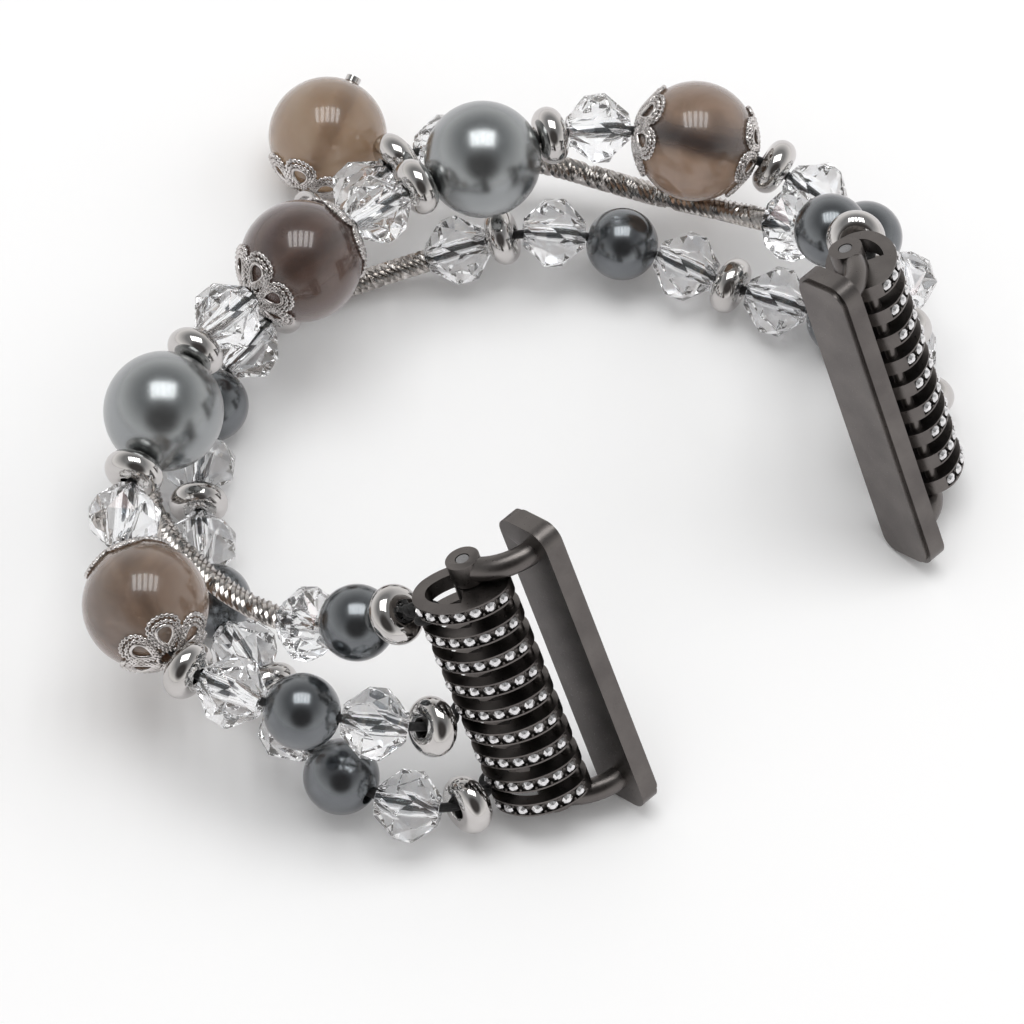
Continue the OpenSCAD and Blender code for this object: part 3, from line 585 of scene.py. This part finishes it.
cord = {"smoothing": 2}
for strand in "abc":
    node = strand + "_cord"
    piece = addPiece(strand + "Cord", mergedCopy(node), "strands", braidedElastic, [node], smoothTo=180)
    rounded = piece.modifiers.new("roundCord", "SUBSURF")
    rounded.levels = rounded.render_levels = cord["smoothing"]

knot = {"size": 0.2 * mm, "thread": 0.34 * mm, "sides": 10, "turns": 72, "out": 0.14 * mm,
        "tail": {"length": 1.7 * mm, "thread": 0.272 * mm, "step": 0.12 * mm, "stations": (0, 0.35, 0.7, 1.0),
                 "rise": 0.45, "lean": 0.18, "flare": 0.2, "away": 0.4}}
knots = [  # mm
    {"at": (-27.7339, -26.8414, 12.7111), "along": (-0.99737, 0.0656821, -0.030628), "tail": 1},
    {"at": (35.5904, -25.5851, 12.1253), "along": (0.868449, 0.449328, -0.209525), "tail": -1},
    {"at": (-26.5968, -20.1218, 23.4802), "along": (-0.362122, 0.844797, -0.393935), "tail": 1},
    {"at": (35.5739, -29.5533, 3.54872), "along": (0.859247, 0.463632, -0.216195), "tail": 1},
    {"at": (-27.6885, -31.3336, 4.37889), "along": (-0.972046, -0.212793, 0.0992268), "tail": 1},
    {"at": (34.9679, -19.6794, 23.2739), "along": (0.520695, 0.773754, -0.360807), "tail": 1},
]
bm = bmesh.new()
for tied in knots:
    start = Vector(tied["at"]) * mm + Vector(tied["along"]) * knot["out"]
    seat = onAxis(start, tied["along"])
    loop = []  # an overhand knot
    for k in range(knot["turns"]):
        t = 2 * math.pi * k / knot["turns"]
        spot = Vector((math.sin(t) + 2 * math.sin(2 * t), math.cos(t) - 2 * math.cos(2 * t), -math.sin(3 * t)))
        loop.append(seat @ (spot * knot["size"]))
    sweepRing(bm, framesAlong(loop, True), knot["thread"], knot["sides"], closed=True)
    tail = knot["tail"]
    rise = leanUp * tied["tail"]
    out = Vector(tied["along"])
    side = rise.cross(out)
    for sign in (-1, 1):
        end = []
        for s in tail["stations"]:
            aside = side * sign * (tail["lean"] + tail["flare"] * s * s)
            end.append(start + (rise * tail["rise"] * s + aside + out * tail["away"] * s) * tail["length"])
        rows = sweepRing(bm, framesAlong(denser(end, tail["step"])), tail["thread"], knot["sides"])
        for row in (rows[0], rows[-1]):
            bmesh.ops.contextual_create(bm, geom=row)
bmesh.ops.recalc_face_normals(bm, faces=bm.faces)
addPiece("tiedKnots", bm, "strands", braidedElastic, [], smoothTo=60)
print("cords and knots made")


# End links, their stones and the grains that hold these

link = {"edge": 0.12 * mm}
for side in ("left", "right"):
    node = side + "_link"
    piece = addPiece(side + "LinkPlates", mergedCopy(node), node, gunmetalPlate, [node], smoothTo=30)
    softenEdges(piece, link["edge"])

stone = {"girdle": 0.57 * mm, "table": 0.26 * mm, "culet": 0.12 * mm, "crown": 0.27 * mm, "pavilion": 0.36 * mm,
         "facets": 8, "lift": 0.05 * mm, "grain": 0.16 * mm, "grainOut": 0.74 * mm, "grainUp": 0.42 * mm,
         "grainSink": 0.02 * mm}


def girdleFaces(bm):
    return [face for face in bm.faces if len(face.verts) == stone["facets"]
            and all(abs(vert.co.z) < 0.001 * mm for vert in face.verts)]


bm = bmesh.new()
bmesh.ops.create_circle(bm, cap_ends=True, segments=stone["facets"], radius=stone["girdle"])
for height, radius in ((stone["crown"], stone["table"]), (-stone["pavilion"], stone["culet"])):
    grown = bmesh.ops.extrude_face_region(bm, geom=girdleFaces(bm)[:1], use_keep_orig=height > 0)["geom"]
    verts = [item for item in grown if isinstance(item, bmesh.types.BMVert)]
    turn = Matrix.Rotation(math.pi / stone["facets"], 4, "Z") @ Matrix.Scale(radius / stone["girdle"], 4)
    bmesh.ops.transform(bm, matrix=Matrix.Translation((0, 0, height)) @ turn, verts=verts)
bmesh.ops.delete(bm, geom=girdleFaces(bm), context="FACES_ONLY")
bmesh.ops.triangulate(bm, faces=[f for f in bm.faces if len(f.verts) == 4], quad_method="SHORT_EDGE")
bmesh.ops.recalc_face_normals(bm, faces=bm.faces)
stoneMesh = toMesh(bm, "stonePattern")
bm = bmesh.new()
bmesh.ops.create_icosphere(bm, subdivisions=1, radius=stone["grain"])
grainMesh = toMesh(bm, "grainPattern")
for side in ("left", "right"):
    stones, grains = bmesh.new(), bmesh.new()
    for centre, axis in restingPlaces(side + "_stones"):
        girdleAt = centre + axis * stone["lift"]
        stamp(stones, stoneMesh, onAxis(girdleAt, axis))
        run = leanUp.cross(axis).normalized()
        for sign in (1, -1):
            spot = girdleAt + run * stone["grainOut"] + leanUp * sign * stone["grainUp"] - axis * stone["grainSink"]
            stamp(grains, grainMesh, Matrix.Translation(spot))
    addPiece(side + "LinkStones", stones, side + "_link", foiledStone, [side + "_stones"])
    addPiece(side + "StoneGrains", grains, side + "_link", gunmetalPlate, [], smoothTo=180)
for mesh in (stoneMesh, grainMesh):
    bpy.data.meshes.remove(mesh)
print("links and stones made")


# Adapters, pins, latches and the charm's wires: the CAD shapes, with softened edges on all but the charm's rings

metalParts = {
    "left_adapter": ("leftAdapter", "left_adapter", gunmetalPlate, "black_metal", 0.18 * mm),
    "right_adapter": ("rightAdapter", "right_adapter", gunmetalPlate, "black_metal", 0.18 * mm),
    "left_pin": ("leftPin", "left_adapter", satinSteel, "steel_pin", 0.1 * mm),
    "right_pin": ("rightPin", "right_adapter", satinSteel, "steel_pin", 0.1 * mm),
    "left_latch": ("leftLatch", "left_latch", satinSteel, "steel_pin", 0.08 * mm),
    "right_latch": ("rightLatch", "right_latch", satinSteel, "steel_pin", 0.08 * mm),
    "charm_ring_1": ("charmRing1", "charm_ring_1", rhodiumPlate, "silver", 0),
    "charm_ring_2": ("charmRing2", "charm_ring_2", rhodiumPlate, "silver", 0),
    "charm_pin": ("charmPin", "charm_pin", rhodiumPlate, "silver", 0.08 * mm),
}
for node, (name, body, material, slot, edge) in metalParts.items():
    piece = addPiece(name, mergedCopy(node), body, material, [node], smoothTo=30)
    if edge:
        softenEdges(piece, edge)
print("adapters and fittings made")


# Studio: white floor and surroundings, and for reflections a dark room behind the camera

studio = {"floorSize": 4.0, "floor": "#f4f2f3", "floorShown": "#ffffff",
          "skyTop": "#ffffff", "skyLow": "#8f8b8a", "skyStrength": 0.7, "skyBand": (0.15, 0.75),
          "shineTop": "#8c8c8d", "shineLow": "#f4f2f1",
          "room": "#474443", "roomAt": (-0.52, -0.54, 0.66), "roomEdge": (0.74, 0.95)}


def seenDirectly(tree, path):  # 1 where the camera looks straight at it or through glass
    rays = {0: path.outputs["Is Camera Ray"], 1: path.outputs["Is Transmission Ray"]}
    return addNode(tree, "ShaderNodeMath", {}, rays, operation="MAXIMUM").outputs[0]


bm = bmesh.new()
bmesh.ops.create_grid(bm, x_segments=1, y_segments=1, size=studio["floorSize"])
floor = bpy.data.objects.new("studioFloor", toMesh(bm, "studioFloor"))
bpy.context.scene.collection.objects.link(floor)
paper = bpy.data.materials.new("studioPaper")
paper.use_nodes = True
tree = paper.node_tree
path = addNode(tree, "ShaderNodeLightPath")
tone = addNode(tree, "ShaderNodeMix", {6: linearColour(studio["floor"]), 7: linearColour(studio["floorShown"])},
               {0: seenDirectly(tree, path)}, data_type="RGBA")
tree.links.new(tone.outputs[2], tree.nodes["Principled BSDF"].inputs["Base Color"])
tree.nodes["Principled BSDF"].inputs["Roughness"].default_value = 0.9
tree.nodes["Principled BSDF"].inputs["Specular IOR Level"].default_value = 0.1
floor.data.materials.append(paper)

world = bpy.data.worlds.new("studioWorld")
bpy.context.scene.world = world
world.use_nodes = True
tree = world.node_tree
path = addNode(tree, "ShaderNodeLightPath")
direction = addNode(tree, "ShaderNodeTexCoord").outputs["Generated"]
height = addNode(tree, "ShaderNodeSeparateXYZ", {}, {0: direction}).outputs["Z"]
rise = addNode(tree, "ShaderNodeMapRange", {"From Min": studio["skyBand"][0], "From Max": studio["skyBand"][1]},
               {"Value": height})
sky = addNode(tree, "ShaderNodeMix", {6: linearColour(studio["skyLow"]), 7: linearColour(studio["skyTop"])},
              {0: rise.outputs[0]}, data_type="RGBA")
shine = addNode(tree, "ShaderNodeMix", {6: linearColour(studio["shineLow"]), 7: linearColour(studio["shineTop"])},
                {0: rise.outputs[0]}, data_type="RGBA")
toRoom = addNode(tree, "ShaderNodeVectorMath", {1: Vector(studio["roomAt"]).normalized()}, {0: direction},
                 operation="DOT_PRODUCT")
dark = addNode(tree, "ShaderNodeMapRange", {"From Min": studio["roomEdge"][0], "From Max": studio["roomEdge"][1]},
               {"Value": toRoom.outputs["Value"]}, interpolation_type="SMOOTHSTEP")
shine = addNode(tree, "ShaderNodeMix", {7: linearColour(studio["room"])}, {0: dark.outputs[0], 6: shine.outputs[2]},
                data_type="RGBA")
soft = addNode(tree, "ShaderNodeBackground", {"Strength": studio["skyStrength"]},
               {"Color": sky.outputs[2]}).outputs[0]
glossy = addNode(tree, "ShaderNodeBackground", {"Strength": 1.0}, {"Color": shine.outputs[2]}).outputs[0]
white = addNode(tree, "ShaderNodeBackground", {"Color": (1, 1, 1, 1), "Strength": 1.0}).outputs[0]
lit = addNode(tree, "ShaderNodeMixShader", {},
              {0: path.outputs["Is Glossy Ray"], 1: soft, 2: glossy}).outputs[0]
both = addNode(tree, "ShaderNodeMixShader", {}, {0: seenDirectly(tree, path), 1: lit, 2: white})
tree.links.new(both.outputs[0], tree.nodes["World Output"].inputs["Surface"])

keyLamp = {"from": (0.097, 0.1, 0.99), "distance": 0.85, "strips": 5, "pitch": 0.14, "width": 0.09, "length": 0.48,
           "power": 0.6}
fillLamp = {"from": (0.67, -0.43, 0.61), "distance": 0.82, "size": 0.5, "power": 0.9}


def addLamp(name, toward, distance, sideways, width, length, power):
    light = bpy.data.lights.new(name, "AREA")
    light.shape = "RECTANGLE"
    light.size, light.size_y = width, length
    light.energy = power
    holder = bpy.data.objects.new(name, light)
    aim = (-Vector(toward)).to_track_quat("-Z", "Y")
    holder.location = Vector(toward).normalized() * distance + aim @ Vector((sideways, 0, 0))
    holder.rotation_mode = "QUATERNION"
    holder.rotation_quaternion = aim
    bpy.context.scene.collection.objects.link(holder)
    return holder


for k in range(keyLamp["strips"]):  # a window of upright strips, which shows in the gloss of the beads
    sideways = (k - (keyLamp["strips"] - 1) / 2) * keyLamp["pitch"]
    addLamp("keyStrip" + str(k + 1), keyLamp["from"], keyLamp["distance"], sideways,
            keyLamp["width"], keyLamp["length"], keyLamp["power"])
fill = addLamp("fillLamp", fillLamp["from"], fillLamp["distance"], 0, fillLamp["size"], fillLamp["size"],
               fillLamp["power"])
fill.visible_glossy = False
bpy.context.scene.view_settings.view_transform = "Standard"
print("studio made")
